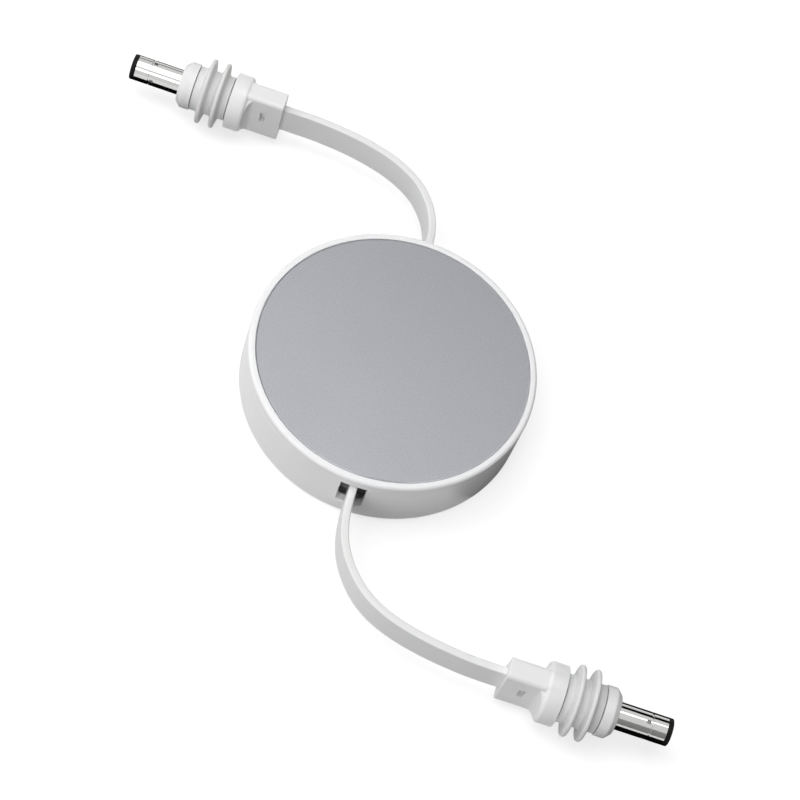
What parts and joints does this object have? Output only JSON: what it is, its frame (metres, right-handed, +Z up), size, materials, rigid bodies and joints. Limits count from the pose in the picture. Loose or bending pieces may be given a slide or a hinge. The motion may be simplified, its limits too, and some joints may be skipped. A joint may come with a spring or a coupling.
{
  "type": "retractable dc power cable",
  "caption": "Round reel housing with a metal face plate and a flat cable that leaves opposite slots and ends in sealed dc barrel plugs.",
  "frame": {"origin": "centre of the housing's underside, on the surface it lies on", "axes": "+Z up along the reel's axis; the cable slots lie on the Y axis; the near plug points along +X"},
  "size_m": [0.1442, 0.1237, 0.0143],
  "materials": {
    "shell_white": "fine moulded satin",
    "adhesive": "dull film",
    "face_aluminium": "blasted satin",
    "screw_steel": "satin",
    "reel_plastic": "moulded",
    "cable_skin": "soft satin",
    "spring_steel": "bright",
    "barrel_nickel": "polished",
    "tip_black": "satin",
    "contact_metal": "plated",
    "plug_white": "soft satin",
    "seal_silicone": "matt silicone"
  },
  "bodies": {
    "housing": {"base_shell": "shell_white", "top_cover": "shell_white", "adhesive_sheet": "adhesive", "face_plate": "face_aluminium", "case_screw": "screw_steel", "cable_near": "cable_skin", "cable_far": "cable_skin", "near_barrel": "barrel_nickel", "near_tip_insulator": "tip_black", "near_centre_contact": "contact_metal", "near_nose_collar": "plug_white", "near_seal": "seal_silicone", "near_plug_body": "plug_white", "far_barrel": "barrel_nickel", "far_tip_insulator": "tip_black", "far_centre_contact": "contact_metal", "far_nose_collar": "plug_white", "far_seal": "seal_silicone", "far_plug_body": "plug_white"},
    "reel": {"reel_spool": "reel_plastic", "reel_cap": "reel_plastic", "wound_cable": "cable_skin", "power_spring": "spring_steel"},
    "stop": {"stop_ball": "spring_steel"}
  },
  "joints": [
    {"name": "reel_spin", "type": "hinge", "parent": "housing", "child": "reel", "pos_m": [0, 0, 0.00385], "axis": [0, 0, 1], "range_deg": [-135, 1170], "deforming": ["power_spring"]},
    {"name": "stop_slide", "type": "slide", "parent": "housing", "child": "stop", "axis": [1, 0, 0], "range_m": [-0.0036, 0]}
  ]
}
